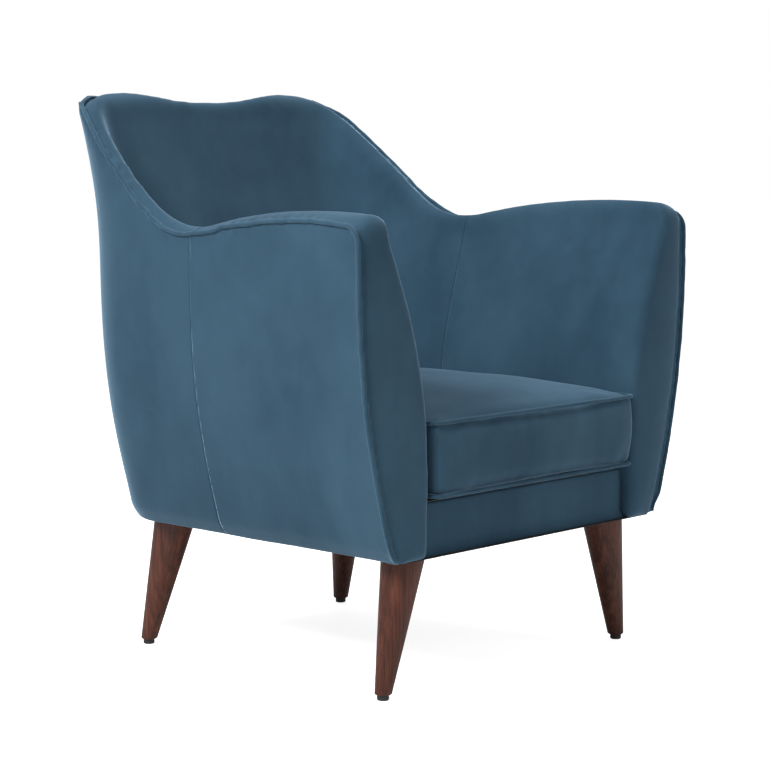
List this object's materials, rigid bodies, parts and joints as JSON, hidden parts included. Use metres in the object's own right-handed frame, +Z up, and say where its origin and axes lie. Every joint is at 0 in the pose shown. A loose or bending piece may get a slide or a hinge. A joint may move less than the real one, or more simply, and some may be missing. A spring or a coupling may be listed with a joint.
{
  "type": "upholstered armchair",
  "caption": "Low lounge armchair with a tub shell whose wings sweep down into rolled arms, a loose piped seat cushion and tapered raked wooden legs.",
  "frame": {"origin": "on the floor under the middle of the chair's box, at the level of the glides' undersides", "axes": "+Z up; the chair faces -Y; +X is the sitter's left"},
  "size_m": [0.7636, 0.7016, 0.8427],
  "materials": {
    "velvet": "short-pile blue velvet",
    "piping": "velvet sewn over cord",
    "leg_wood": "dark walnut stain, satin lacquer",
    "timber": "planed beech",
    "steel": "zinc plated",
    "glide_plastic": "moulded",
    "webbing": "elastic webbing",
    "padding": "polyurethane foam",
    "lining": "black spunbond lining cloth",
    "zip_tape": "nylon coil zip"
  },
  "bodies": {
    "chair": {"front_left_leg": "leg_wood", "front_right_leg": "leg_wood", "back_left_leg": "leg_wood", "back_right_leg": "leg_wood", "leg_glides": "glide_plastic", "leg_bolts": "steel", "insert_nuts": "steel", "seat_springs": "steel", "spring_clips": "steel", "dust_cover_staples": "steel", "leg_blocks": "timber", "front_rail": "timber", "back_rail": "timber", "left_side_rail": "timber", "right_side_rail": "timber", "left_arm_post": "timber", "right_arm_post": "timber", "left_arm_rail": "timber", "right_arm_rail": "timber", "left_back_post": "timber", "right_back_post": "timber", "back_top_rail": "timber", "back_tack_rail": "timber", "frame_dowels": "timber", "back_webbing": "webbing", "deck_pad": "padding", "left_arm_foam": "padding", "right_arm_foam": "padding", "back_foam": "padding", "left_wing_foam": "padding", "right_wing_foam": "padding", "front_rail_padding": "padding", "deck_cloth": "lining", "dust_cover": "lining", "left_inside_arm_cover": "velvet", "right_inside_arm_cover": "velvet", "left_outside_arm_cover": "velvet", "right_outside_arm_cover": "velvet", "inside_back_cover": "velvet", "outside_back_cover": "velvet", "front_rail_cover": "velvet", "left_edge_welt": "piping", "right_edge_welt": "piping", "back_top_welt": "piping"},
    "seat_cushion": {"cushion_core": "padding", "cushion_top_panel": "velvet", "cushion_bottom_panel": "velvet", "cushion_border": "velvet", "cushion_top_welt": "piping", "cushion_bottom_welt": "piping", "cushion_zip": "zip_tape"},
    "zip_slider": {"zip_slider": "steel"}
  },
  "joints": [
    {"name": "cushion_lift_out", "type": "slide", "parent": "chair", "child": "seat_cushion", "axis": [0, 0, 1], "range_m": [0, 0.3]},
    {"name": "zip_travel", "type": "slide", "parent": "seat_cushion", "child": "zip_slider", "axis": [1, 0, 0], "range_m": [0, 0.24]}
  ]
}
